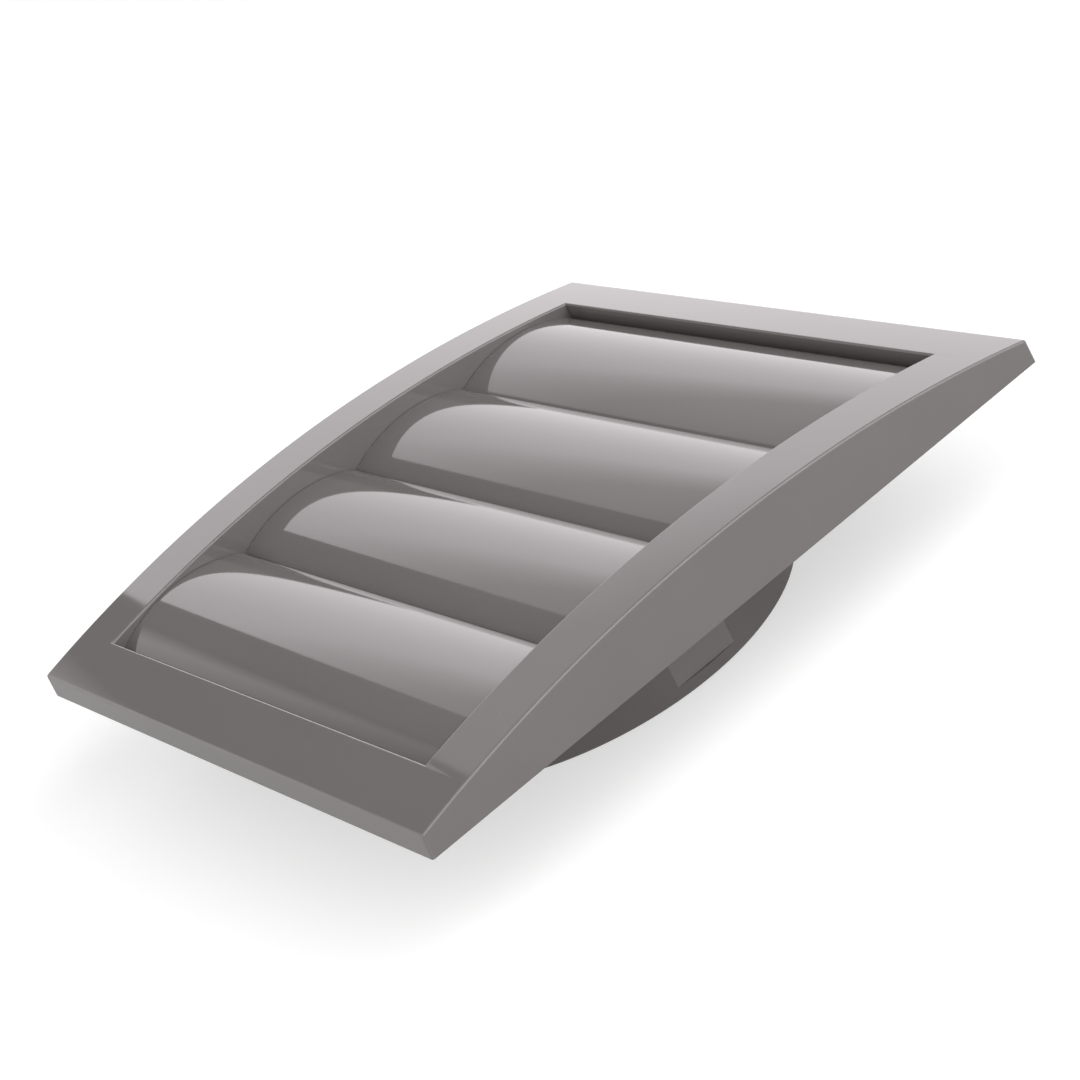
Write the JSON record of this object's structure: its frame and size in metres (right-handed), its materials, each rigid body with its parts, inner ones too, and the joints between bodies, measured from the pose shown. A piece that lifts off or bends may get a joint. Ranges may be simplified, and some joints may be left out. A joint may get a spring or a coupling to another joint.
{
  "type": "louvred vent grille",
  "caption": "Square wall vent grille with an arched frame, convex gravity flaps hinged along their upper edges, and a round duct spigot behind.",
  "frame": {"origin": "on the spigot's axis, in the plane of the frame's back edge that sits against the wall", "axes": "+Z out of the wall, along the spigot's axis and away from it; +Y up the wall, towards the flaps' hinges; +X along the flaps"},
  "size_m": [0.154, 0.154, 0.0384],
  "materials": {
    "frame_plastic": "glossy moulded grey plastic",
    "flap_plastic": "high-gloss moulded grey plastic"
  },
  "bodies": {
    "frame": {"frame": "frame_plastic"},
    "flap_1": {"flap_1": "flap_plastic"},
    "flap_2": {"flap_2": "flap_plastic"},
    "flap_3": {"flap_3": "flap_plastic"},
    "flap_4": {"flap_4": "flap_plastic"}
  },
  "joints": [
    {"name": "flap_1_hinge", "type": "hinge", "parent": "frame", "child": "flap_1", "pos_m": [0, 0.0625, 0.00365], "axis": [-1, 0, 0], "range_deg": [0, 60]},
    {"name": "flap_2_hinge", "type": "hinge", "parent": "frame", "child": "flap_2", "pos_m": [0, 0.0311, 0.0053], "axis": [-1, 0, 0], "range_deg": [0, 60]},
    {"name": "flap_3_hinge", "type": "hinge", "parent": "frame", "child": "flap_3", "pos_m": [0, -0.0003, 0.0053], "axis": [-1, 0, 0], "range_deg": [0, 60]},
    {"name": "flap_4_hinge", "type": "hinge", "parent": "frame", "child": "flap_4", "pos_m": [0, -0.0317, 0.0053], "axis": [-1, 0, 0], "range_deg": [0, 60]}
  ]
}
